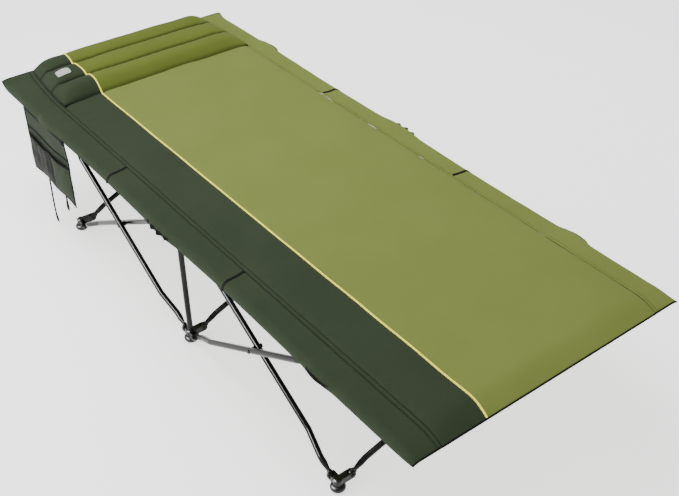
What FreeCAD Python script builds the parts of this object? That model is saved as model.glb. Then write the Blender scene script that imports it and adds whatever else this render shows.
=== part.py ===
# Folding camp cot: a steel scissor frame on six feet with a sewn sleeping surface.
# +X runs from head to foot, +Y from the dark side to the light side, +Z up from the floor.
# Units are millimetres. "near" is the -Y side, "far" is the +Y side.
import FreeCAD
import Part
import math
import os

os.makedirs("parts", exist_ok=True)
V = FreeCAD.Vector

# ---- driving dimensions -------------------------------------------------------------------
BED_HALF = 1000.0        # half the bed's length
EDGE_Y = 412.0           # outer edge of the side flaps
SEAM_Y = 330.0           # seam between the padded panel and each flap
PIPING_Y = -205.0        # piping between the dark and light parts of the panel
STATION = 680.0          # spacing of the three pairs of feet
HUB_Y = 356.0            # centre of each hub, across the bed
PIN_LOW = 28.0           # height of the pivots in the feet
PIN_HIGH = 396.0         # height of the pivots in the top hubs
SIDE_REACH = 24.0        # hub centre to the pivot of a side bar
CROSS_REACH = 40.0       # hub centre to the pivot of a cross bar
GAP = 0.3                # air between neighbouring moving or soft pieces

TUBE_R = 8.0             # steel tube, outside
WALL = 1.0               # tube wall
RUN_OFFSET = 11.0        # each bar's main run lies this far beside its end tabs
BEND_START = 52.0        # the sideways bend starts here, from the pivot
BEND_END = 125.0         # and ends here
BEND_R = 60.0
TAB_R = 8.0              # flattened end of a tube
TAB_HALF = 4.0           # half its thickness
TAB_LENGTH = 14.0
THROAT_END = 34.0        # where the tube is round again
PIN_R = 3.0
HOLE_R = 3.08
PIN_HEAD_R = 5.5
PIN_HEAD = 2.0
RIVET_HEAD_R = 6.0
RIVET_HEAD = 2.6
WASHER_R = 7.0

LUG_R = 9.5              # rounded end of a hub's lug
CHEEK_IN = TAB_HALF + GAP
CHEEK_OUT = 9.3
HUB_R = 12.5
FOOT_R = 20.0            # the bowl of the foot
FOOT_FLAT_R = 12.0       # and its flat underside
FOOT_BOWL_Z = 10.0       # height of the bowl's widest line
FOOT_RISE = 12.0         # top of a foot's body above its pivots
CAP_BASE = 11.0          # top hub's cap plate, above the pivots
CAP_T = 4.0
CAP_INNER = 10.5         # the plate's straight inner edge, outboard of the hub centre
CAP_OUTER = 44.0
CAP_HALF_MID = 48.0
CAP_HALF_END = 40.0
POST_TOP = 391.0
POST_SEAT = 16.0
POST_FIT = 0.05
SOCKET_R = 8.3

ARM_LENGTH = 262.0       # corner arm, pivot to the end of its tip
ARM_TUBE_END = 250.0
TIP_START = 222.0
TIP_R = 10.0

CLOTH_Z = 412.0          # underside of the cloth over the hubs
PANEL_LOW = 423.0        # underside of the padded panel
PANEL_TOP = 431.0
FOOT_DROP = 20.0         # the panel falls this much at the foot end
FOOT_ROLL = 80.0         # over this length
HEAD_DROP = 12.0
ROLL_PITCH = 97.0        # the pillow's three rolls
ROLL_HEIGHT = 40.0
PILLOW_START = -990.0
STRAP_X = 295.0          # webbing straps, each side of the middle
STRAP_W = 7.0
STRAP_T = 1.6

POCKET_LEFT = -836.0     # storage pocket hung from the near edge
POCKET_RIGHT = -560.0
POCKET_TOP = 396.0
POCKET_LOW = 180.0
POCKET_BACK_Y = -401.0
POCKET_CLOTH = 3.0
POCKET_DEPTH = 8.0
POCKET_SKIN = 1.5

STATIONS = {"head": -STATION, "mid": 0.0, "foot": STATION}
SIDES = {"near": -1.0, "far": 1.0}


def save(shape, name):
    shape.exportStep("parts/" + name + ".step")


def cylinder(radius, start, end):
    run = end - start
    return Part.makeCylinder(radius, run.Length, start, run)


def box(x0, x1, y0, y1, z0, z1):
    return Part.makeBox(x1 - x0, y1 - y0, z1 - z0, V(x0, y0, z0))


def extrude(points, run):
    """A prism from a closed outline."""
    return Part.Face(Part.makePolygon(points + points[:1])).extrude(run)


def bent_path(points, radius):
    """A wire through the points, with its corners rounded."""
    edges, start = [], points[0]
    for before, corner, after in zip(points, points[1:], points[2:]):
        back, ahead = (before - corner).normalize(), (after - corner).normalize()
        half_turn = (math.pi - back.getAngle(ahead)) / 2
        tangent = radius * math.tan(half_turn)
        to_arc = radius / math.cos(half_turn) - radius
        first, last = corner + back * tangent, corner + ahead * tangent
        middle = corner + (back + ahead).normalize() * to_arc
        edges.append(Part.LineSegment(start, first).toShape())
        edges.append(Part.Arc(first, middle, last).toShape())
        start = last
    edges.append(Part.LineSegment(start, points[-1]).toShape())
    return Part.Wire(edges)


def pipe(points, radius):
    ring = Part.Wire(Part.Circle(points[0], V(0, 0, 1), radius).toShape())
    return bent_path(points, BEND_R).makePipeShell([ring], True, False)


# ---- bars: local Z runs from the lower pivot to the upper one, local Y is the pivot axis ---
def bar_end():
    """Flattened tab, the throat back to a round tube, and the riveted pivot pin."""
    tab = box(-TAB_R, TAB_R, -TAB_HALF, TAB_HALF, 0, TAB_LENGTH)
    eye = cylinder(TAB_R, V(0, -TAB_HALF, 0), V(0, TAB_HALF, 0))
    oval = Part.Ellipse(V(0, 0, 0), TAB_R, TAB_HALF).toShape()
    oval.translate(V(0, 0, TAB_LENGTH))
    ring = Part.Circle(V(0, 0, THROAT_END), V(0, 0, 1), TUBE_R).toShape()
    throat = Part.makeLoft([Part.Wire(oval), Part.Wire(ring)], True)
    inner = CHEEK_OUT + GAP
    outer = inner + PIN_HEAD
    pin = cylinder(PIN_R, V(0, -outer, 0), V(0, outer, 0))
    heads = [
        cylinder(PIN_HEAD_R, V(0, side * inner, 0), V(0, side * outer, 0)) for side in (-1, 1)
    ]
    return tab.multiFuse([eye, throat, pin] + heads)


def run_points(start, length, offset):
    """The tube's centre line, from start to the mirrored end."""
    return [
        V(0, 0, start),
        V(0, 0, BEND_START),
        V(0, offset, BEND_END),
        V(0, offset, length - BEND_END),
        V(0, 0, length - BEND_START),
        V(0, 0, length - start),
    ]


def scissor_bar(length, offset, riveted):
    """One bar. A riveted bar carries the middle rivet, the other has the hole for it."""
    middle = length / 2
    end = bar_end()
    far_end = end.mirror(V(0, 0, middle), V(0, 0, 1))
    tube = pipe(run_points(THROAT_END, length, offset), TUBE_R)
    hollow = pipe(run_points(THROAT_END + 2, length, offset), TUBE_R - WALL)
    side = math.copysign(1, offset)
    near_face = abs(offset) - TUBE_R
    far_face = abs(offset) + TUBE_R
    if not riveted:
        hole = cylinder(HOLE_R, V(0, -4 * TUBE_R, middle), V(0, 4 * TUBE_R, middle))
        return tube.multiFuse([end, far_end]).cut(hollow).cut(hole)
    reach = far_face + GAP + RIVET_HEAD
    rivet = cylinder(PIN_R, V(0, side * far_face, middle), V(0, -side * reach, middle))
    own_head = cylinder(
        RIVET_HEAD_R, V(0, side * (far_face - 1), middle), V(0, side * (far_face + 1.6), middle)
    )
    far_head = cylinder(
        RIVET_HEAD_R, V(0, -side * (far_face + GAP), middle), V(0, -side * reach, middle)
    )
    washer = cylinder(
        WASHER_R,
        V(0, side * (near_face + 2), middle),
        V(0, -side * (near_face - GAP), middle),
    )
    body = tube.multiFuse([end, far_end]).cut(hollow)
    return body.multiFuse([rivet, own_head, far_head, washer])


def stand(shape, origin, along, side):
    """Puts a local shape at origin, with local Z along `along` and local Y along `side`."""
    placed = shape.copy()
    turn = FreeCAD.Rotation(side.cross(along), side, along, "ZYX")
    placed.Placement = FreeCAD.Placement(origin, turn)
    return placed


def place_bar(name, foot, top, side, offset, riveted):
    run = top - foot
    bar = scissor_bar(run.Length, offset, riveted)
    save(stand(bar, foot, run.normalize(), side), name)


# The bars that start at a middle foot run outboard, the ones that end at a middle top hub
# run inboard, so each pair passes side by side.
for side_name, side in SIDES.items():
    outward = V(0, side, 0)
    for bay, x0 in (("head", -STATION), ("foot", 0.0)):
        low_head = V(x0 + SIDE_REACH, side * HUB_Y, PIN_LOW)
        low_foot = V(x0 + STATION - SIDE_REACH, side * HUB_Y, PIN_LOW)
        rise = V(0, 0, PIN_HIGH - PIN_LOW)
        from_middle = bay == "foot"
        place_bar(
            "bar_%s_%s_up_to_foot" % (bay, side_name),
            low_head, low_foot + rise, outward,
            RUN_OFFSET if from_middle else -RUN_OFFSET, from_middle,
        )
        place_bar(
            "bar_%s_%s_up_to_head" % (bay, side_name),
            low_foot, low_head + rise, outward,
            -RUN_OFFSET if from_middle else RUN_OFFSET, not from_middle,
        )

for station, x in STATIONS.items():
    near_y = CROSS_REACH - HUB_Y
    across = V(1, 0, 0)
    place_bar(
        "bar_cross_%s_up_to_far" % station,
        V(x, near_y, PIN_LOW), V(x, -near_y, PIN_HIGH), across, RUN_OFFSET, True,
    )
    place_bar(
        "bar_cross_%s_up_to_near" % station,
        V(x, -near_y, PIN_LOW), V(x, near_y, PIN_HIGH), across, -RUN_OFFSET, False,
    )


# ---- hubs: built about the hub's axis, with the pivots at z = 0 and outboard along -Y -------
def lug(reach, angle, stopped=False):
    """A forked lug along local +X, turned about Z. A stopped one has a floor under the tab."""
    fork = box(0, reach, -CHEEK_OUT, CHEEK_OUT, -LUG_R, LUG_R).fuse(
        cylinder(LUG_R, V(reach, -CHEEK_OUT, 0), V(reach, CHEEK_OUT, 0))
    )
    floor = -TAB_R - GAP if stopped else -2 * LUG_R
    slot_start = reach - TAB_R - 3
    slot = box(slot_start, reach + 2 * LUG_R, -CHEEK_IN, CHEEK_IN, floor, 2 * LUG_R)
    hole = cylinder(HOLE_R, V(reach, -2 * LUG_R, 0), V(reach, 2 * LUG_R, 0))
    fork = fork.cut(slot).cut(hole)
    fork.rotate(V(0, 0, 0), V(0, 0, 1), angle)
    return fork


def side_lugs(x):
    """Directions in which a hub at x has side bars."""
    return [angle for angle, wanted in ((0, x < STATION), (180, x > -STATION)) if wanted]


def foot_hub(x):
    """Moulded foot: a bowl with a flat underside, a round body, and lugs for the bars."""
    floor, bowl = -PIN_LOW, FOOT_BOWL_Z - PIN_LOW
    side = Part.Arc(V(FOOT_FLAT_R, 0, floor), V(FOOT_R, 0, bowl), V(HUB_R, 0, 2 * bowl - floor))
    rest = Part.makePolygon([
        V(HUB_R, 0, 2 * bowl - floor), V(HUB_R, 0, FOOT_RISE - 3), V(HUB_R - 3, 0, FOOT_RISE),
        V(0, 0, FOOT_RISE), V(0, 0, floor), V(FOOT_FLAT_R, 0, floor),
    ])
    profile = Part.Face(Part.Wire([side.toShape()] + rest.Edges))
    hub = profile.revolve(V(0, 0, 0), V(0, 0, 1), 360)
    lugs = [lug(SIDE_REACH, angle) for angle in side_lugs(x)] + [lug(CROSS_REACH, 90)]
    hub = hub.multiFuse(lugs)
    if x == 0:
        seat = POST_SEAT - PIN_LOW
        hub = hub.cut(
            cylinder(TUBE_R + POST_FIT, V(0, 0, seat), V(0, 0, 2 * FOOT_RISE))
        )
    return hub


def cap_plate(half):
    """The flat plate that the cloth's edge rests on, with a bowed outer edge."""
    bow = Part.Arc(V(-half, -CAP_INNER, 0), V(0, -CAP_OUTER, 0), V(half, -CAP_INNER, 0))
    chord = Part.LineSegment(V(half, -CAP_INNER, 0), V(-half, -CAP_INNER, 0))
    plate = Part.Face(Part.Wire([bow.toShape(), chord.toShape()])).extrude(V(0, 0, CAP_T))
    neck = box(2 - HUB_R, HUB_R - 2, -HUB_R - 4, -HUB_R / 2, 0, CAP_T)
    plate = plate.fuse(neck)
    plate.translate(V(0, 0, CAP_BASE))
    return plate


def top_hub(x):
    """Moulded top hub: lugs below a cap plate. The end ones also carry a corner arm."""
    body = cylinder(HUB_R, V(0, 0, -FOOT_RISE), V(0, 0, CAP_BASE + CAP_T))
    lugs = [lug(SIDE_REACH, angle) for angle in side_lugs(x)] + [lug(CROSS_REACH, 90)]
    if x:
        lugs.append(lug(SIDE_REACH, 0 if x > 0 else 180, stopped=True))
    hub = body.multiFuse(lugs + [cap_plate(CAP_HALF_END if x else CAP_HALF_MID)])
    if not x:
        socket_end = POST_TOP + 1 - PIN_HIGH
        hub = hub.cut(cylinder(SOCKET_R, V(0, 0, -2 * FOOT_RISE), V(0, 0, socket_end)))
    return hub


for side_name, side in SIDES.items():
    for station, x in STATIONS.items():
        for kind, hub, z in (("foot_hub", foot_hub(x), PIN_LOW), ("top_hub", top_hub(x), PIN_HIGH)):
            if side > 0:
                hub = hub.mirror(V(0, 0, 0), V(0, 1, 0))
            hub.translate(V(x, side * HUB_Y, z))
            save(hub, "%s_%s_%s" % (kind, station, side_name))

# ---- middle posts: a plain tube from each middle foot into the top hub's socket --------------
for side_name, side in SIDES.items():
    low, high = V(0, side * HUB_Y, POST_SEAT), V(0, side * HUB_Y, POST_TOP)
    post = cylinder(TUBE_R, low, high).cut(cylinder(TUBE_R - WALL, low, high))
    save(post, "post_" + side_name)

# ---- corner arms: a tube from each end top hub out to the bed's corner, with a plastic tip ---
arm_tube = cylinder(TUBE_R, V(0, 0, THROAT_END), V(0, 0, ARM_TUBE_END)).cut(
    cylinder(TUBE_R - WALL, V(0, 0, THROAT_END + 2), V(0, 0, ARM_TUBE_END))
)
arm = arm_tube.fuse(bar_end())
tip_skin = cylinder(TIP_R, V(0, 0, TIP_START), V(0, 0, ARM_LENGTH - 6)).fuse(
    Part.makeCone(TIP_R, TIP_R - 4, 6, V(0, 0, ARM_LENGTH - 6))
)
tip = tip_skin.cut(
    cylinder(TUBE_R + POST_FIT, V(0, 0, TIP_START), V(0, 0, ARM_TUBE_END + GAP))
)
for side_name, side in SIDES.items():
    for station, way in (("head", -1), ("foot", 1)):
        pivot = V(way * (STATION + SIDE_REACH), side * HUB_Y, PIN_HIGH)
        corner = "%s_%s" % (station, side_name)
        for shape, name in ((arm, "corner_arm_"), (tip, "arm_tip_")):
            save(stand(shape, pivot, V(way, 0, 0), V(0, 1, 0)), name + corner)


# ---- the sewn bed ----------------------------------------------------------------------------
def bed_line(low, high):
    """Points along the bed, from head to foot, at a height that falls off at both ends."""
    points = []
    head = 60.0
    for share in (0.0, 0.4, 1.0):
        drop = HEAD_DROP * (1 - share) ** 2
        points.append(V(-low + head * share, 0, high - drop))
    for share in (0.0, 0.3, 0.55, 0.75, 0.9, 1.0):
        points.append(V(low - FOOT_ROLL * (1 - share), 0, high - FOOT_DROP * share ** 2.2))
    return points


def bed_strip(y0, y1, z0, z1, half=BED_HALF):
    """A long strip of the bed that follows the same line on top and below."""
    outline = bed_line(half, z1) + bed_line(half, z0)[::-1]
    strip = extrude(outline, V(0, y1 - y0, 0))
    strip.translate(V(0, y0, 0))
    return strip


BINDING = 5.0            # webbing sewn round the head and foot edges
PIPING_HALF = 2.6
PANEL_HALF = BED_HALF - BINDING - GAP
PANELS = {
    "light_far": (GAP / 2, SEAM_Y - GAP),
    "light_near": (PIPING_Y + PIPING_HALF + GAP, -GAP / 2),
    "dark": (-SEAM_Y + GAP, PIPING_Y - PIPING_HALF - GAP),
}
for name, (y0, y1) in PANELS.items():
    save(bed_strip(y0, y1, PANEL_LOW, PANEL_TOP, PANEL_HALF), "panel_" + name)


def roll_line(z):
    """The pillow's top: three rolls side by side, from the head end."""
    points = []
    for roll in range(3):
        start = PILLOW_START + roll * ROLL_PITCH
        for step in range(9 if roll == 2 else 8):
            angle = math.pi * step / 8
            low = 8.0 if 0 < roll or step > 0 else 0.0
            height = low + (ROLL_HEIGHT - low) * math.sin(angle) ** 0.7
            points.append(V(start + ROLL_PITCH * step / 8, 0, z + height))
    return points


pillow_low = PANEL_TOP + GAP
PILLOW_END = PILLOW_START + 3 * ROLL_PITCH
for name, (y0, y1) in PANELS.items():
    outline = roll_line(pillow_low) + [
        V(PILLOW_END, 0, pillow_low), V(PILLOW_START + 1, 0, pillow_low)
    ]
    roll = extrude(outline, V(0, y1 - y0, 0))
    roll.translate(V(0, y0, 0))
    save(roll, "pillow_" + name)

# Piping: a corded bead in the seam between light and dark, over the pillow's rolls too.
bead_low, bead_high = PANEL_LOW + 2, PANEL_TOP + 3
bead = bed_strip(PIPING_Y - PIPING_HALF, PIPING_Y + PIPING_HALF, bead_low, bead_high, PANEL_HALF)
over_rolls = roll_line(PANEL_TOP + 3)
bead_over = extrude(
    over_rolls + [V(PILLOW_END, 0, PANEL_TOP), V(PILLOW_START, 0, PANEL_TOP)],
    V(0, 2 * PIPING_HALF, 0),
)
bead_over.translate(V(0, PIPING_Y - PIPING_HALF, 0))
save(bead.fuse(bead_over), "piping")

# Side flaps: a single layer that leaves the seam level and rolls down over the edge.
LIP_LOW = 399.0
flap_outline = [
    (SEAM_Y + GAP, CLOTH_Z + 7), (SEAM_Y + GAP, CLOTH_Z + 13), (EDGE_Y - 22, CLOTH_Z + 6),
    (EDGE_Y - 6, CLOTH_Z + 3), (EDGE_Y, CLOTH_Z - 5), (EDGE_Y, LIP_LOW),
    (EDGE_Y - 3, LIP_LOW), (EDGE_Y - 3.5, CLOTH_Z - 5), (EDGE_Y - 8, CLOTH_Z), (EDGE_Y - 20, CLOTH_Z),
]
for side_name, side in SIDES.items():
    outline = [V(-PANEL_HALF, side * y, z) for y, z in flap_outline]
    save(extrude(outline, V(2 * PANEL_HALF, 0, 0)), "flap_" + side_name)

# Webbing straps over each flap, from the seam to the edge.
for side_name, side in SIDES.items():
    top = [(y, z + GAP) for y, z in flap_outline[1:4]]
    outer = [(y + 1, z + GAP + STRAP_T) for y, z in top]
    outline = [V(0, side * y, z) for y, z in top + outer[::-1]]
    straps = []
    for x in (-STRAP_X, STRAP_X):
        strap = extrude(outline, V(STRAP_W, 0, 0))
        strap.translate(V(x - STRAP_W / 2, 0, 0))
        straps.append(strap)
    save(Part.makeCompound(straps), "straps_" + side_name)

# Reinforcing patches: a crescent sewn round the outside of the flap's edge at each hub.
PATCH_BULGE = 7.0
PATCH_HALF_MID = 66.0
PATCH_HALF_END = 44.0
for side_name, side in SIDES.items():
    patches = []
    for station, x in STATIONS.items():
        half = PATCH_HALF_END if x else PATCH_HALF_MID
        start, end = V(x - half, EDGE_Y + GAP, LIP_LOW), V(x + half, EDGE_Y + GAP, LIP_LOW)
        bow = Part.Arc(start, V(x, start.y + PATCH_BULGE, LIP_LOW), end).toShape()
        crescent = Part.Wire([bow, Part.LineSegment(end, start).toShape()])
        patch = Part.Face(crescent).extrude(V(0, 0, CLOTH_Z - 5 - LIP_LOW))
        if side < 0:
            patch = patch.mirror(V(0, 0, 0), V(0, 1, 0))
        patches.append(patch)
    save(Part.makeCompound(patches), "edge_patches_" + side_name)

# Binding along the head and foot edges, in a near and a far half.
ends = {-1: bed_line(BED_HALF, PANEL_TOP)[0].z, 1: bed_line(BED_HALF, PANEL_TOP)[-1].z}
for side_name, side in SIDES.items():
    strips = []
    for way, z in ends.items():
        x0, x1 = sorted((way * (BED_HALF - BINDING), way * BED_HALF))
        middle = box(x0, x1, GAP / 2, SEAM_Y, z - 9, z + 1)
        outer = box(x0, x1, SEAM_Y, EDGE_Y - 1, CLOTH_Z - 0.5, CLOTH_Z + 8)
        joint = box(x0, x1, SEAM_Y - 8, SEAM_Y, min(z - 9, CLOTH_Z - 0.5), max(z + 1, CLOTH_Z + 8))
        strip = middle.multiFuse([outer, joint])
        strips.append(strip if side > 0 else strip.mirror(V(0, 0, 0), V(0, 1, 0)))
    save(Part.makeCompound(strips), "binding_" + side_name)

# Blank woven patch on the middle roll of the dark part of the pillow.
patch_x = PILLOW_START + 1.5 * ROLL_PITCH
patch_z = pillow_low + ROLL_HEIGHT + GAP
save(box(patch_x - 14, patch_x + 14, -291, -247, patch_z, patch_z + 1.2), "blank_patch")

# ---- storage pocket, hung from the near edge at the head end ---------------------------------
front = POCKET_BACK_Y - POCKET_CLOTH
save(box(POCKET_LEFT, POCKET_RIGHT, front, POCKET_BACK_Y, POCKET_LOW, POCKET_TOP), "pocket_back")

EDGE_TAPE = 4.0          # tape down both sides and along the bottom
tape = box(
    POCKET_LEFT - EDGE_TAPE, POCKET_RIGHT + EDGE_TAPE, front, POCKET_BACK_Y,
    POCKET_LOW - EDGE_TAPE, POCKET_TOP,
).cut(
    box(
        POCKET_LEFT - GAP, POCKET_RIGHT + GAP, front - 1, POCKET_BACK_Y + 1,
        POCKET_LOW - GAP, POCKET_TOP + 1,
    )
)
save(tape, "pocket_tape")


def patch_pocket(x0, x1, z0, z1):
    """A pocket sewn on the backing: open at the top, closed at the sides and below."""
    y1 = front - GAP
    y0 = y1 - POCKET_DEPTH
    skin = POCKET_SKIN
    inside = box(x0 + skin, x1 - skin, y0 + skin, y1 + 1, z0 + skin, z1 + 1)
    return box(x0, x1, y0, y1, z0, z1).cut(inside)


POCKET_SPLIT = POCKET_LEFT + 156
save(patch_pocket(POCKET_LEFT + 3, POCKET_SPLIT - 1, POCKET_LOW + 3, 306), "mesh_pocket")
save(patch_pocket(POCKET_SPLIT + 1, POCKET_RIGHT - 3, POCKET_LOW + 3, 306), "small_pocket")

# Two tie straps of flat webbing under the pocket, one long and one short.
ties = []
tie_top = POCKET_LOW - EDGE_TAPE - GAP
for x, low in ((-743.0, 12.0), (-626.0, 128.0)):
    tail = box(x - 5, x + 5, front, front + 2, low, tie_top)
    ties.append(tail.fuse(box(x - 8, x + 8, front, front + 2, low, low + 26)))
save(Part.makeCompound(ties), "pocket_ties")
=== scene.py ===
"""The folding cot's looks: a black tube frame on moulded feet, and its sewn green bed."""

import math

import bpy
import numpy as np
from mathutils import Matrix, Vector


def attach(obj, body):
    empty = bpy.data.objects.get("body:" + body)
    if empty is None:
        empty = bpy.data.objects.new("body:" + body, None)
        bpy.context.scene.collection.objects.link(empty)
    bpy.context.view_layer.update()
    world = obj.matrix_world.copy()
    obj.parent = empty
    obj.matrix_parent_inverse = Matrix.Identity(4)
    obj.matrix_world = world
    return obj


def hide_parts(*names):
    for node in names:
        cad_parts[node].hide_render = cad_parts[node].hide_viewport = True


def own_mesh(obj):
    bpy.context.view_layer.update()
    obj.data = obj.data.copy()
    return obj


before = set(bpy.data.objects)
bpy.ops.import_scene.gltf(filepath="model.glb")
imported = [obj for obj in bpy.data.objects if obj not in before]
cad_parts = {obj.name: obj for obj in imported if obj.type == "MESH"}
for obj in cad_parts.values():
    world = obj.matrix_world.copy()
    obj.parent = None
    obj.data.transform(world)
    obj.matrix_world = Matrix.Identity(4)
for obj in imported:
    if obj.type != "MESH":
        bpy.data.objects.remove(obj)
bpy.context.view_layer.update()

# ---- camera and studio --------------------------------------------------------------------
# A three-quarter view from above the foot end, on the dark side. The studio has one large
# soft light overhead, a weaker one from the near side, a reflector that only glossy surfaces
# pick up, and a pale floor.
azimuth, elevation, tilt = math.radians(52.82), math.radians(37.27), math.radians(-0.63)
target, distance, lens = Vector((0.234, -0.005, 0.300)), 2.807, 55.6
back = Vector((
    math.sin(azimuth) * math.cos(elevation),
    -math.cos(azimuth) * math.cos(elevation),
    math.sin(elevation),
))
camera = bpy.data.objects.new("camera", bpy.data.cameras.new("camera"))
bpy.context.scene.collection.objects.link(camera)
bpy.context.scene.camera = camera
camera.data.lens = lens
camera.rotation_euler = (
    back.to_track_quat("Z", "Y") @ Matrix.Rotation(tilt, 4, "Z").to_quaternion()
).to_euler()
camera.location = target + back * distance

far = 30
floor_mesh = bpy.data.meshes.new("floor")
floor_mesh.from_pydata(
    [(-far, -far, 0), (far, -far, 0), (far, far, 0), (-far, far, 0)], [], [(0, 1, 2, 3)]
)
floor = bpy.data.objects.new("floor", floor_mesh)
bpy.context.scene.collection.objects.link(floor)
floor_paint = bpy.data.materials.new("floor")
floor_paint.use_nodes = True
floor_shader = floor_paint.node_tree.nodes["Principled BSDF"]
floor_shader.inputs["Base Color"].default_value = (0.90, 0.90, 0.90, 1)
floor_shader.inputs["Emission Color"].default_value = (1, 1, 1, 1)
floor_shader.inputs["Emission Strength"].default_value = 1.4
floor_shader.inputs["Roughness"].default_value = 0.9
floor_mesh.materials.append(floor_paint)

world = bpy.data.worlds.new("studio")
world.use_nodes = True
sky = world.node_tree.nodes["Background"]
sky.inputs["Color"].default_value = (1, 1, 1, 1)
sky.inputs["Strength"].default_value = 0.75
bpy.context.scene.world = world


def soft_light(name, place, aim, size, power, long=None):
    """A round soft lamp, or a strip size wide when it is given a length."""
    lamp = bpy.data.objects.new(name, bpy.data.lights.new(name, "AREA"))
    bpy.context.scene.collection.objects.link(lamp)
    lamp.location = place
    lamp.rotation_euler = (Vector(place) - Vector(aim)).to_track_quat("Z", "Y").to_euler()
    lamp.data.shape = "RECTANGLE" if long else "DISK"
    lamp.data.size = long or size
    lamp.data.size_y = size
    lamp.data.energy = power
    return lamp


soft_light("overhead", (-0.9, -0.6, 3.2), (0, 0, 0.4), 2.0, 74)
soft_light("near_side", (-0.2, -3.0, 1.8), (-0.2, 0, 0.3), 0.45, 25, long=3.0)
reflector = soft_light("reflector", (-0.6, -2.8, 1.9), (-0.2, 0, 0.3), 1.5, 900, long=3.0)
reflector.visible_diffuse = False


# ---- finishes -------------------------------------------------------------------------------
# What every paint, moulding and cloth below is mixed from: colours, soft clouds of wear, and
# the fine relief of threads or grain.
class Value:
    """A shader socket that adds and multiplies like a number."""

    def __init__(self, tree, socket):
        self.tree, self.socket = tree, socket

    def node(self, kind, inputs, output=0, **settings):
        """Adds a node of another kind, feeds it, and returns one of its outputs."""
        made = self.tree.nodes.new("ShaderNode" + kind)
        for key, setting in settings.items():
            setattr(made, key, setting)
        for key, feed in inputs.items():
            if isinstance(feed, Value):
                self.tree.links.new(feed.socket, made.inputs[key])
            else:
                made.inputs[key].default_value = feed
        return Value(self.tree, made.outputs[output])

    def maths(self, operation, first, second=0.0):
        return self.node("Math", {0: first, 1: second}, operation=operation)

    def __add__(self, other):
        return self.maths("ADD", self, other)

    def __sub__(self, other):
        return self.maths("SUBTRACT", self, other)

    def __rsub__(self, other):
        return self.maths("SUBTRACT", other, self)

    def __mul__(self, other):
        return self.maths("MULTIPLY", self, other)

    __radd__ = __add__
    __rmul__ = __mul__

    def __abs__(self):
        return self.maths("ABSOLUTE", self)

    def sine(self):
        return self.maths("SINE", self)

    def within(self, low, high):
        """0 below low, 1 above high, and a smooth climb between."""
        return self.node(
            "MapRange",
            {"Value": self, "From Min": low, "From Max": high},
            interpolation_type="SMOOTHSTEP",
        )


def finish_of(name, **constants):
    """A new principled material: (material, its shader node, its place and its map position)."""
    material = bpy.data.materials.new(name)
    material.use_nodes = True
    shader = material.node_tree.nodes["Principled BSDF"]
    for key, constant in constants.items():
        shader.inputs[key.replace("_", " ")].default_value = constant
    where = material.node_tree.nodes.new("ShaderNodeTexCoord")
    tree = material.node_tree
    return material, shader, Value(tree, where.outputs["Object"]), Value(tree, where.outputs["UV"])


def cloud(place, scale, detail=2.0):
    """Soft noise between 0 and 1."""
    return place.node("TexNoise", {"Vector": place, "Scale": scale, "Detail": detail})


def blend_colours(share, first, second):
    """Mixes two colours by a 0 to 1 share."""
    first, second = (c if isinstance(c, Value) else (*c, 1) for c in (first, second))
    return share.node("Mix", {"Factor": share, "A": first, "B": second}, 2, data_type="RGBA")


def feed(shader, name, value):
    """Links a map to one of the shader's inputs."""
    value.tree.links.new(value.socket, shader.inputs[name])


def raise_by(shader, height, depth):
    """Feeds a height map to the shader's normal."""
    feed(shader, "Normal", height.node("Bump", {"Height": height, "Distance": depth}))


def cover(piece, material):
    """Gives a hard piece its only material."""
    piece.data.materials.clear()
    piece.data.materials.append(material)


# ---- tubes ----------------------------------------------------------------------------------
# Sixteen-millimetre steel tube in gloss black enamel: the scissor bars, the two posts and
# the corner arms. The enamel is rubbed duller in soft patches.
enamel, shader, place, _ = finish_of(
    "black_enamel", Metallic=0.0, Specular_IOR_Level=0.10, Coat_Roughness=0.06
)
rubbed = cloud(place, 9.0, 4.0).within(0.45, 0.72)
feed(shader, "Base Color", blend_colours(rubbed, (0.004, 0.004, 0.005), (0.014, 0.014, 0.015)))
feed(shader, "Roughness", rubbed * 0.12 + 0.14)
feed(shader, "Coat Weight", 0.05 - rubbed * 0.03)
raise_by(shader, cloud(place, 260.0), 0.00006)

for name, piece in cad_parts.items():
    if name.startswith(("bar_", "post_", "corner_arm_")):
        cover(piece, enamel)

# ---- feet and top hubs ----------------------------------------------------------------------
# Glossy black mouldings. Each holds the flattened tube ends between forked lugs, and the
# feet end in a shallow bowl, scuffed where it meets the floor.
moulding, shader, place, _ = finish_of("moulded_black", Specular_IOR_Level=0.22)
height = place.node("SeparateXYZ", {"Vector": place}, 2)
scuff = (1 - height.within(0.0, 0.03)) * cloud(place, 120.0, 5.0).within(0.45, 0.7)
feed(shader, "Base Color", blend_colours(scuff, (0.008, 0.008, 0.009), (0.05, 0.048, 0.045)))
feed(shader, "Roughness", cloud(place, 40.0) * 0.12 + scuff * 0.3 + 0.22)
raise_by(shader, cloud(place, 900.0, 3.0), 0.00008)

tip_plastic, shader, place, _ = finish_of("arm_tip_black", Specular_IOR_Level=0.4)
grain = cloud(place, 1400.0, 2.0)
feed(shader, "Base Color", blend_colours(grain, (0.010, 0.010, 0.011), (0.022, 0.022, 0.023)))
feed(shader, "Roughness", grain * 0.2 + 0.45)
raise_by(shader, grain, 0.0001)

for name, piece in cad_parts.items():
    if "_hub_" in name or name.startswith("arm_tip_"):
        cover(piece, tip_plastic if "tip" in name else moulding)

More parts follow.
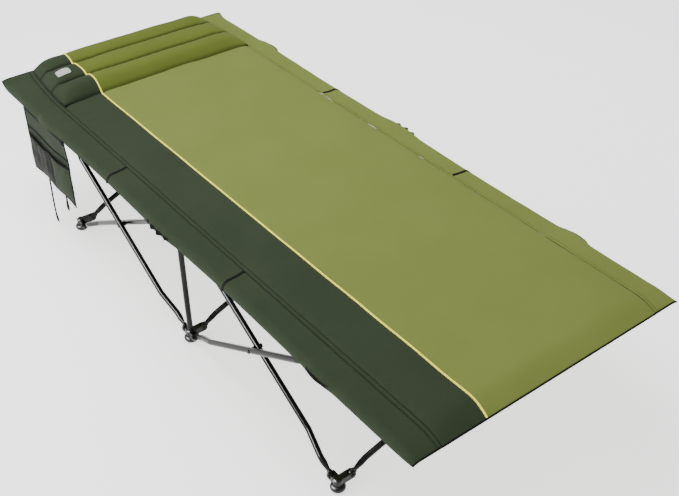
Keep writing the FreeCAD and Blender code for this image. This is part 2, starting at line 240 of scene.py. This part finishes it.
# ---- padded centre panel ---------------------------------------------------------------------
# Woven polyester over thin wadding, light green for the most part, with a dark strip along
# the near seam. It is sewn to the flaps, crowns a little, and falls away at both ends.
STATION, SEAM, PIPING_Y = 0.680, 0.330, -0.205
PANEL_HALF = 0.9945
PANEL_HIGH, PANEL_CROWN, PANEL_UNDER = 0.4325, 0.0035, 0.4232
END_HIGH = {1: 0.4080, -1: 0.4210}     # height of the foot and head edges, straight across
END_LONG = {1: 0.062, -1: 0.050}       # how far in from each edge the panel starts to fall
HEAD_PULL, HEAD_PULL_LONG = 0.026, 0.26   # how far its sides curve in, and over what length


def ripple(x, y, wave, seed, count=7):
    """A smooth random field between about -1 and 1, made of crossing waves."""
    draw = np.random.default_rng(seed)
    total = 0
    for _ in range(count):
        turn, phase = draw.uniform(0, math.pi), draw.uniform(0, 2 * math.pi)
        length = wave * draw.uniform(0.6, 1.6)
        along = x * math.cos(turn) + y * math.sin(turn)
        total = total + np.sin(along * 2 * math.pi / length + phase)
    return total / count ** 0.5 / 1.4


def shell(name, us, vs, at, thick=0.002, under=None):
    """A closed thin solid over a grid. at(u, v) is its outer face; it goes thick inwards, or
    straight down to the height under."""
    u, v = np.meshgrid(us, vs, indexing="ij")
    outer = np.stack(np.broadcast_arrays(*at(u, v)), -1).astype(float)
    if under is None:
        normal = np.cross(np.gradient(outer, axis=0), np.gradient(outer, axis=1))
        normal /= np.linalg.norm(normal, axis=-1, keepdims=True)
        inner = outer - normal * thick
    else:
        inner = outer.copy()
        inner[..., 2] = np.minimum(under(u, v), outer[..., 2] - 0.0005)
    rows, columns = u.shape
    index = np.arange(rows * columns).reshape(rows, columns)
    quads = np.stack([index[:-1, :-1], index[1:, :-1], index[1:, 1:], index[:-1, 1:]], -1)
    quads = quads.reshape(-1, 4)
    ring = np.concatenate(
        [index[:-1, 0], index[-1, :-1], index[:0:-1, -1], index[0, :0:-1]]
    )
    after, size = np.roll(ring, -1), rows * columns
    walls = np.stack([ring + size, after + size, after, ring], -1)
    faces = np.concatenate([quads, quads[:, ::-1] + size, walls])
    mesh = bpy.data.meshes.new(name)
    mesh.from_pydata(np.concatenate([outer.reshape(-1, 3), inner.reshape(-1, 3)]).tolist(), [],
                     faces.tolist())
    flat = np.tile(np.stack([u, v], -1).reshape(-1, 2), (2, 1))
    corners = np.empty(len(mesh.loops), np.int32)
    mesh.loops.foreach_get("vertex_index", corners)
    layer = mesh.uv_layers.new(name="cloth")
    layer.data.foreach_set("uv", flat[corners].ravel().astype(np.float32))
    mesh.shade_smooth()
    rim = np.zeros(2 * size, bool)
    rim[ring] = rim[ring + size] = True
    ends = np.empty(2 * len(mesh.edges), np.int32)
    mesh.edges.foreach_get("vertices", ends)
    ends = ends.reshape(-1, 2)
    crisp = rim[ends].all(1) & ((ends < size).all(1) | (ends >= size).all(1))
    mesh.attributes.new("sharp_edge", "BOOLEAN", "EDGE").data.foreach_set("value", crisp)
    piece = bpy.data.objects.new(name, mesh)
    bpy.context.scene.collection.objects.link(piece)
    return piece


def at_end(x):
    """0 along the bed, rising to 1 at its head and foot edges: (share, height of the edge)."""
    foot = np.clip((x - (PANEL_HALF - END_LONG[1])) / END_LONG[1], 0, 1) ** 2.2
    head = np.clip((-PANEL_HALF + END_LONG[-1] - x) / END_LONG[-1], 0, 1) ** 2.2
    return foot + head, np.where(x > 0, END_HIGH[1], END_HIGH[-1])


def settled(x, z):
    """Brings a height down to the straight head and foot edges."""
    share, edge = at_end(x)
    return z + (edge - z) * share


def drawn_in(x, y):
    """The sides of the panel curve in towards the head, where the pillow pulls on them."""
    pull = HEAD_PULL * np.clip((HEAD_PULL_LONG - 1 - x) / HEAD_PULL_LONG, 0, 1) ** 1.5
    outer = np.clip((np.abs(y) + PIPING_Y) / (SEAM + PIPING_Y), 0, 1)
    return y - np.sign(y) * pull * outer ** 1.5


def bed_top(x, y):
    """Height of the padded panel's upper face."""
    across = np.abs(y) / SEAM
    roll = 0.0070 * np.exp(-np.abs(SEAM - np.abs(y)) / 0.009)
    groove = 0.0030 * np.exp(-np.abs(y - PIPING_Y) / 0.006)
    soft = 0.0010 * ripple(x, y, 0.20, 3) + 0.0003 * ripple(x * 0.5, y, 0.06, 4)
    pulls = 0.0003 * np.exp(-np.abs(SEAM - np.abs(y)) / 0.03) * np.sin(
        x * 2 * math.pi / 0.046 + 2 * ripple(x, y, 0.3, 5)
    )
    return settled(x, PANEL_HIGH + PANEL_CROWN * (1 - across ** 2) - roll - groove + soft + pulls)


def weave(name, light, dark, pitch=0.0013, depth=0.00018, roughness=0.82, rows=(), creases=()):
    """Plain-woven cloth with a soft sheen, slubs and faint wear. It has painted shade in the
    stitched rows, given by their distance from the middle, and in the creases, given along the bed."""
    cloth, shader, place, flat = finish_of(
        name, Sheen_Weight=0.05, Sheen_Roughness=0.5, Specular_IOR_Level=0.02
    )
    turns = 2 * math.pi / pitch
    warp = (flat.node("SeparateXYZ", {"Vector": flat}, 0) * turns).sine()
    weft = (flat.node("SeparateXYZ", {"Vector": flat}, 1) * turns).sine()
    threads = (warp * weft) * 0.5 + 0.5
    slubs = cloud(place, 420.0, 3.0)
    worn = cloud(place, 5.0, 5.0).within(0.35, 0.7)
    share = threads * 0.30 + slubs * 0.45 + worn * 0.25
    colour = blend_colours(share, dark, light)
    # Painted shade: the stitched rows and the creases are blended towards this darker green.
    shadow = tuple(0.30 * part for part in dark)
    for axis, lines, half in ((1, rows, 0.0017), (0, creases, 0.013)):
        for line in lines:
            along = flat.node("SeparateXYZ", {"Vector": flat}, axis)
            gap = abs((abs(along) if axis else along) - line)
            colour = blend_colours(gap.within(0.0, half) * 0.75 + 0.25, shadow, colour)
    feed(shader, "Base Color", colour)
    feed(shader, "Roughness", roughness + worn * 0.08)
    raise_by(shader, threads + slubs * 0.7, depth)
    return cloth


FLAP_SEAM = 0.0095
STITCHED = (SEAM, SEAM + FLAP_SEAM)
DARK_GREEN = (0.041, 0.057, 0.031), (0.026, 0.037, 0.019)
light_cloth = weave("cloth_light_green", (0.200, 0.247, 0.061), (0.157, 0.198, 0.042),
                    rows=STITCHED)
dark_cloth = weave("cloth_dark_green", *DARK_GREEN, rows=STITCHED)


def sewn(piece, side, cloth, slot, *nodes):
    """Puts a bed piece on its half of the bed, and hides the CAD parts it stands in for."""
    piece.data.materials.append(cloth)
    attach(piece, "bed_" + side)
    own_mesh(piece)
    if nodes:
        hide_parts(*nodes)
    return piece


def steps(low, high, pitch, closer=()):
    """Even steps, with finer ones within 12 mm of the given places."""
    even = np.linspace(low, high, max(2, int(round((high - low) / pitch)) + 1))
    fine = [at + np.linspace(-0.012, 0.012, 17) for at in closer]
    both = np.concatenate([even] + fine)
    both = np.unique(np.round(both[(both >= low) & (both <= high)], 6))
    return both[np.concatenate([[True], np.diff(both) > 0.0004])] if closer else even


PANELS = {
    "panel_light_far": (0.0, SEAM - 0.0003, "far", light_cloth, "fabric_light"),
    "panel_light_near": (PIPING_Y + 0.0010, 0.0, "near", light_cloth, "fabric_light"),
    "panel_dark": (-SEAM + 0.0003, PIPING_Y - 0.0010, "near", dark_cloth, "fabric_dark"),
}
for name, (y0, y1, side, cloth, slot) in PANELS.items():
    piece = shell(
        name + "_cloth", steps(-PANEL_HALF, PANEL_HALF, 0.007),
        steps(y0, y1, 0.005, (-SEAM, PIPING_Y, SEAM)),
        lambda x, y: (x, drawn_in(x, y), bed_top(x, y)),
        under=lambda x, y: settled(x, PANEL_UNDER + 0 * y) - 0.002,
    )
    sewn(piece, side, cloth, slot, name)

# ---- pillow -----------------------------------------------------------------------------------
# Three stuffed rolls sewn across the head end, light green with a dark near part. Each is
# pinched where it is stitched down, and puckers there.
ROLL, ROLL_HIGH, PILLOW_HEAD = 0.097, 0.036, -0.990


def pillow_top(x, y):
    """Height of the pillow's upper face, or of the panel beyond its ends."""
    along = np.clip((x - PILLOW_HEAD) / ROLL, 0, 2.99999)
    share = 2 * (along % 1) - 1
    hump = (1 - np.abs(share) ** 2.2) ** 0.6
    outside = np.clip(np.minimum(along, 3 - along) / 0.5, 0, 1)
    outline = (1 - (1 - outside) ** 2.2) ** 0.6
    inboard = np.clip((SEAM - np.abs(y)) / 0.085, 0, 1)
    ends = (1 - (1 - inboard) ** 2.2) ** 0.75 * (1 - 0.16 * np.clip(y / SEAM, 0, 1))
    creased = np.clip((SEAM - 0.014 - np.abs(y)) / 0.040, 0, 1)
    creased = creased * creased * (3 - 2 * creased)
    body = 0.42 * outline + 0.58 * (outline + (hump - outline) * creased)
    pinch = np.exp(-(1 - np.abs(share)) / 0.22) * creased
    folds = 0.0009 * pinch * np.sin(y * 2 * math.pi / 0.031 + 3 * ripple(x, y, 0.2, 11))
    soft = 0.0016 * ripple(x, y, 0.13, 12) * hump
    seam = 0.0030 * np.exp(-np.abs(y - PIPING_Y) / 0.008) * hump
    return settled(x, 0.4340) + 0.0005 + (ROLL_HIGH * body + folds + soft) * ends * outline - seam


CREASES = tuple(PILLOW_HEAD + ROLL * turn for turn in (1, 2, 3))
# The pillow's light cloth is a darker copy of the panel's light cloth: painted shade over the rolls.
pillow_shaded_cloth = weave("cloth_light_green_pillow_shaded", (0.138, 0.176, 0.032), (0.104, 0.138, 0.021),
                     rows=STITCHED, creases=CREASES)
pillow_dark_cloth = weave("cloth_dark_green_pillow", *DARK_GREEN, rows=STITCHED,
                          creases=CREASES)
for name, (y0, y1, side, cloth, slot) in PANELS.items():
    piece = shell(
        name.replace("panel", "pillow") + "_cloth",
        PILLOW_HEAD + ROLL * 3 * steps(0, 1, 1 / 144), steps(y0, y1, 0.003),
        lambda x, y: (x, drawn_in(x, y), pillow_top(x, y)),
        under=lambda x, y: bed_top(x, y) - 0.0005,
    )
    cloth = pillow_shaded_cloth if cloth is light_cloth else pillow_dark_cloth
    sewn(piece, side, cloth, slot, name.replace("panel", "pillow"))

# ---- side flaps -------------------------------------------------------------------------------
# One layer of cloth from the panel's seam out over the hubs' cap plates, dark on the near
# side and light on the far side. A second row of stitching runs beside the seam, and the
# edge rolls down, swelling a little at each hub.
FLAP_FLAT, FLAP_ROLL, FLAP_TAIL = 0.056, 0.023, 0.0035
FLAP_TURN = math.radians(74)
FLAP_HIGH, FLAP_FALL = 0.4255, 0.0060
FLAP_LONG = FLAP_FLAT + FLAP_ROLL * FLAP_TURN + FLAP_TAIL


def hub_swell(x):
    """1 over a hub, falling to 0 beside it."""
    return sum(
        np.exp(-((x - at) / (0.068 if at == 0 else 0.042)) ** 4) for at in (-STATION, 0.0, STATION)
    )


def flap_at(x, s, side, lift=0.0):
    """A point of the flap's outer face, s from the seam towards the lip, raised by lift."""
    swell = hub_swell(x)
    drawn = 0.0035 * np.sin(math.pi * x / STATION) ** 2 * (np.abs(x) < STATION)
    share, _ = at_end(x)
    flat = np.clip(s, 0, FLAP_FLAT)
    turn = np.clip((s - FLAP_FLAT) / FLAP_ROLL, 0, FLAP_TURN)
    tail = np.clip(s - FLAP_FLAT - FLAP_ROLL * FLAP_TURN, 0, None)
    out = flat / FLAP_FLAT
    radius = FLAP_ROLL + lift
    reach = flat + radius * np.sin(turn) + tail * math.cos(FLAP_TURN)
    start = np.abs(drawn_in(x, side * SEAM * np.ones_like(s)))
    y = start + 0.0003 + reach * (1 + (SEAM - start) / 0.080) + (0.006 * swell - drawn) * out
    stitches = 0.0024 * np.exp(-((s - FLAP_SEAM) / 0.0022) ** 2)
    stitches = stitches - 0.0020 * np.sin(math.pi * np.clip(s / FLAP_SEAM, 0, 1))
    z = FLAP_HIGH - FLAP_FALL * out + 0.0025 * swell * out ** 2 - stitches
    z = z - 0.0014 * np.sin(math.pi * out) * (1 - swell)
    z = z + 0.0009 * ripple(x, y, 0.12, 21 + side) * np.sin(math.pi * np.clip(s / FLAP_LONG, 0, 1))
    down = radius * (1 - np.cos(turn)) + tail * math.sin(FLAP_TURN)
    return x, side * y, settled(x, z) - down * (1 - 0.75 * share) + lift


for side_name, side, cloth, slot in (
    ("near", -1, dark_cloth, "fabric_dark"), ("far", 1, light_cloth, "fabric_light"),
):
    piece = shell(
        "flap_" + side_name + "_cloth", steps(-PANEL_HALF, PANEL_HALF, 0.006)[::side],
        steps(SEAM, SEAM + FLAP_LONG, 0.0030, STITCHED), lambda x, v: flap_at(x, v - SEAM, side),
        thick=0.0014,
    )
    sewn(piece, side_name, cloth, slot, "flap_" + side_name)
    "top_hub_mid_" + side_name

# ---- webbing: straps, hub patches and end bindings ---------------------------------------------
# Black webbing sewn to the bed: two narrow straps over each flap, a crescent patch under the
# edge at each hub, and a folded binding along the head and foot edges.
webbing, shader, place, flat = finish_of("webbing_black", Sheen_Weight=0.02, Specular_IOR_Level=0.03)
ribs = (flat.node("SeparateXYZ", {"Vector": flat}, 0) * (2 * math.pi / 0.0011)).sine() * 0.5 + 0.5
fuzz = cloud(place, 700.0, 3.0)
feed(shader, "Base Color",
     blend_colours(ribs * 0.5 + fuzz * 0.5, (0.003, 0.003, 0.003), (0.010, 0.010, 0.010)))
feed(shader, "Roughness", fuzz * 0.2 + 0.6)
raise_by(shader, ribs + fuzz, 0.0002)


def joined(name, pieces):
    """Several meshes as one object."""
    bpy.ops.object.select_all(action="DESELECT")
    for piece in pieces:
        piece.select_set(True)
    bpy.context.view_layer.objects.active = pieces[0]
    bpy.ops.object.join()
    pieces[0].name = name
    return pieces[0]


def rod(name, line, across, up=None, sides=10):
    """A closed bead along a line of points, across wide and up high (half sizes)."""
    line = np.asarray(line, float)
    run = np.gradient(line, axis=0)
    run /= np.linalg.norm(run, axis=1, keepdims=True)
    beside = np.cross(run, (0, 0, 1.0))
    flat_on = np.linalg.norm(beside, axis=1, keepdims=True)
    beside = np.where(flat_on > 0.2, beside / np.maximum(flat_on, 1e-9), (0, 1.0, 0))
    above = np.cross(beside, run)
    turns = np.linspace(0, 2 * math.pi, sides, endpoint=False)
    rings = (
        line[:, None]
        + across * np.cos(turns)[None, :, None] * beside[:, None]
        + (up or across) * np.sin(turns)[None, :, None] * above[:, None]
    )
    index = np.arange(len(line) * sides).reshape(len(line), sides)
    after = np.roll(index, -1, axis=1)
    quads = np.stack([index[:-1], after[:-1], after[1:], index[1:]], -1).reshape(-1, 4)
    mesh = bpy.data.meshes.new(name)
    mesh.from_pydata(rings.reshape(-1, 3).tolist(), [],
                     quads.tolist() + [index[0, ::-1].tolist(), index[-1].tolist()])
    reach = np.concatenate([[0], np.cumsum(np.linalg.norm(np.diff(line, axis=0), axis=1))])
    flat = np.stack(np.broadcast_arrays(reach[:, None], turns[None] * across), -1).reshape(-1, 2)
    corners = np.empty(len(mesh.loops), np.int32)
    mesh.loops.foreach_get("vertex_index", corners)
    mesh.uv_layers.new(name="cloth").data.foreach_set(
        "uv", flat[corners].ravel().astype(np.float32)
    )
    mesh.shade_smooth()
    piece = bpy.data.objects.new(name, mesh)
    bpy.context.scene.collection.objects.link(piece)
    return piece


STRAP, STRAP_X, STRAP_OVER = 0.0075, 0.295, 0.002
WELTS = (-STATION, 0.044), (0.0, 0.066), (STATION, 0.044)     # place along the bed, half length
for side_name, side in (("near", -1), ("far", 1)):
    straps = [
        shell("strap", steps(x - STRAP / 2, x + STRAP / 2, 0.0016)[::side],
              steps(FLAP_SEAM, FLAP_LONG + STRAP_OVER, 0.002),
              lambda x, s: flap_at(x, s, side, 0.0012), thick=0.0012)
        for x in (-STRAP_X, STRAP_X)
    ]
    straps = sewn(joined("straps_" + side_name + "_webbing", straps), side_name, webbing,
                  "webbing_black", "straps_" + side_name)
    "flap_" + side_name

    patches = []
    for at, half in WELTS:
        def crescent(x, t):
            """The welt's face, t from inside the flap's roll to its own outer edge."""
            bow = np.sqrt(np.clip(1 - ((x - at) / half) ** 2, 0.01, 1))
            bumps = 1 + 0.30 * np.sin((x - at) * 2 * math.pi / 0.033) * (at == 0)
            tucked = side < 0 and at < 0
            reach = 0.4030 + (0.0040 if tucked else 0.0160 * bow * bumps) * t
            return x, side * reach, 0.4108 - 0.0022 * t

        patches.append(shell("patch", np.linspace(at - half, at + half, 49)[::side],
                             np.linspace(0, 1, 6), crescent, thick=0.0045))
    sewn(joined("edge_patches_" + side_name + "_webbing", patches), side_name, webbing,
         "webbing_black", "edge_patches_" + side_name)

    bindings = []
    for way in (-1, 1):
        x = way * (PANEL_HALF + 0.0008)
        y = steps(0.0, SEAM, 0.004)
        middle = np.stack(
            [x + 0 * y, drawn_in(x, side * y), bed_top(x + 0 * y, y) - 0.0022], -1
        )
        s = steps(0.002, FLAP_LONG - 0.001, 0.003)
        outer = np.stack(np.broadcast_arrays(*flap_at(x + 0 * s, s, side, -0.0014)), -1)
        bindings.append(rod("edge", np.concatenate([middle, outer]), 0.0022, 0.0026))
    sewn(joined("binding_" + side_name + "_webbing", bindings), side_name, webbing,
         "webbing_black", "binding_" + side_name)

# ---- piping -----------------------------------------------------------------------------------
# A yellow corded bead caught in the seam between the light and dark cloth. It runs the whole
# length, over the pillow's rolls too.
piping_cloth = weave("piping_yellow", (0.98, 0.95, 0.12), (0.88, 0.84, 0.07), 0.0009, 0.0001, 0.6)
x = steps(-PANEL_HALF, PANEL_HALF, 0.004)
glowing_bead_shader = piping_cloth.node_tree.nodes["Principled BSDF"]
# The bead glows faintly: painted light that keeps its yellow bright.
glowing_bead_shader.inputs["Emission Color"].default_value = (1.0, 0.95, 0.15, 1)
glowing_bead_shader.inputs["Emission Strength"].default_value = 0.25
BEAD_RADIUS, BEAD_LIFT = 0.0025, 0.0014
over = (x > PILLOW_HEAD) & (x < PILLOW_HEAD + 3 * ROLL)
y = np.full_like(x, PIPING_Y)
z = np.where(over, pillow_top(x, y), bed_top(x, y)) + BEAD_LIFT
piping = rod("piping_bead", np.stack([x, y, z], -1), BEAD_RADIUS)
sewn(piping, "near", piping_cloth, "piping_yellow", "piping")

# ---- blank patch ------------------------------------------------------------------------------
# A small plain woven rectangle with rounded corners, stitched on the middle roll.
patch_cloth = weave("patch_grey", (0.62, 0.63, 0.60), (0.48, 0.49, 0.46), 0.0007, 0.0001, 0.7)
patch_x, patch_y = PILLOW_HEAD + 1.58 * ROLL, -0.266
PATCH_HALF = 0.0155, 0.024


def patch_at(radius, turn):
    """A rounded rectangle laid on the pillow, in polar steps."""
    square = (np.abs(np.cos(turn)) ** 6 + np.abs(np.sin(turn)) ** 6) ** (-1 / 6)
    x = patch_x + PATCH_HALF[0] * radius * square * np.cos(turn)
    y = patch_y + PATCH_HALF[1] * radius * square * np.sin(turn)
    return x, drawn_in(x, y), pillow_top(x, y) + 0.0014


patch = shell("blank_patch_cloth", np.linspace(0.02, 1, 8), np.linspace(0, 2 * math.pi, 73),
              patch_at, thick=0.001)
sewn(patch, "near", patch_cloth, "patch_grey", "blank_patch")

# ---- storage pocket ---------------------------------------------------------------------------
# Grey-green cloth hung from the near edge at the head end: a backing edged with black tape,
# a black mesh pocket, a small cloth pocket and two loose tie straps.
LEFT, RIGHT, TOP, LOW = -0.836, -0.560, 0.3980, 0.180
POCKET_Y, POUCH_TOP, CROSS_TAPE = -0.4085, 0.306, 0.334
pocket_cloth = weave("cloth_grey_green", (0.034, 0.045, 0.027), (0.022, 0.030, 0.017), 0.0012)
mesh_cloth, shader, place, flat = finish_of("mesh_black", Sheen_Weight=0.02, Specular_IOR_Level=0.04)
wide = (flat.node("SeparateXYZ", {"Vector": flat}, 0) * (math.pi / 0.0022)).sine()
tall = (flat.node("SeparateXYZ", {"Vector": flat}, 1) * (math.pi / 0.0022)).sine()
holes = (wide * wide * tall * tall).within(0.50, 0.62)
yarn = cloud(place, 800.0)
feed(shader, "Base Color", blend_colours(yarn, (0.006, 0.007, 0.005), (0.016, 0.018, 0.013)))
feed(shader, "Roughness", yarn * 0.2 + 0.55)
feed(shader, "Alpha", 1 - holes * 0.12)


def hung(piece, cloth, slot, *nodes):
    """Puts a piece on the pocket, which swings from the bed's edge."""
    piece.data.materials.append(cloth)
    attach(piece, "pocket")
    if nodes:
        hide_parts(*nodes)
    return piece


def backing_at(u, z):
    """A point of the backing: u runs across in metres from the left edge."""
    x = LEFT + u + 0 * z
    slack = np.clip((TOP - z) / 0.05, 0, 1)
    y = POCKET_Y + 0.0018 * ripple(x, z, 0.12, 31) * slack + 0.002 * slack * np.sin(x * 31)
    low = LOW - 0.010 * np.clip(u / (RIGHT - LEFT), 0, 1) ** 6
    return x, y, TOP - (TOP - z) * (TOP - low) / (TOP - LOW)


backing = hung(
    shell("pocket_back_cloth", steps(0, RIGHT - LEFT, 0.004), steps(LOW, TOP, 0.004),
          backing_at, thick=0.0016),
    pocket_cloth, "fabric_pocket", "pocket_back",
)


def edge_line(points, pitch=0.005, off=0.0):
    """The backing's face along a run of straight edges."""
    line = []
    for (u0, z0), (u1, z1) in zip(points, points[1:]):
        count = max(2, int(math.hypot(u1 - u0, z1 - z0) / pitch))
        share = np.arange(count) / count
        line.append(np.stack(np.broadcast_arrays(
            *backing_at(u0 + (u1 - u0) * share, z0 + (z1 - z0) * share)), -1))
    line = np.concatenate(line)
    line[:, 1] -= off
    return line


wide_back = RIGHT - LEFT
tape = [rod("tape", edge_line([(0, TOP), (0, LOW), (wide_back, LOW), (wide_back, TOP)]),
            0.0016, 0.0032)]
for z, half in ((TOP - 0.002, 0.0040), (CROSS_TAPE, 0.0012)):
    tape.append(rod("tape", edge_line([(0, z), (wide_back, z)], off=0.0012), 0.0018, half))
tape.append(rod("tab", edge_line([(wide_back - 0.010, TOP - 0.002), (wide_back + 0.004, TOP)],
                                 pitch=0.002, off=0.003), 0.0035, 0.0060))
hung(joined("pocket_tape_webbing", tape), webbing, "webbing_black", "pocket_tape")


def pouch(name, u0, u1, z0, z1, depth):
    """The loose front of a patch pocket, sewn at its sides and bottom."""
    def at(u, z):
        share, rise = (u - u0) / (u1 - u0), (z - z0) / (z1 - z0)
        x, y, _ = backing_at(u, z)
        out = (1 - np.abs(2 * share - 1) ** 3) * (1 - (1 - np.clip(rise / 0.5, 0, 1)) ** 2.4)
        wave = 0.0012 * ripple(x, z, 0.05, 41)
        return x, y - 0.0018 - (depth + wave) * out, z
    return shell(name, steps(u0, u1, 0.004), steps(z0, z1, 0.004), at, thick=0.0008), at


for name, u0, u1, cloth, slot in (
    ("mesh_pocket", 0.003, 0.155, mesh_cloth, "mesh_black"),
    ("small_pocket", 0.157, wide_back - 0.003, pocket_cloth, "fabric_pocket"),
):
    front, front_at = pouch(name + "_cloth", u0, u1, LOW + 0.003, POUCH_TOP, 0.008)
    hung(front, cloth, slot, name)
    rim = np.stack(np.broadcast_arrays(*front_at(steps(u0, u1, 0.004), POUCH_TOP)), -1)
    hung(rod(name + "_rim", rim, 0.0016, 0.0030), webbing, "webbing_black")

ties = []
for at, low in ((-0.743, 0.012), (-0.626, 0.128)):
    def tie_at(t, z):
        """A strap that broadens to a wider tip, t from -1 to 1 across it."""
        half = 0.0050 + 0.0040 * np.exp(-((z - low - 0.014) / 0.014) ** 4)
        fall = LOW - z
        return at + t * half + 0.004 * np.sin(fall * 30), POCKET_Y - 0.003 * np.sin(fall * 22), z

    ties.append(shell("tie", np.linspace(-1, 1, 5), steps(low, LOW - 0.002, 0.004), tie_at,
                      thick=0.0020))
hung(joined("pocket_ties_webbing", ties), webbing, "webbing_black", "pocket_ties")
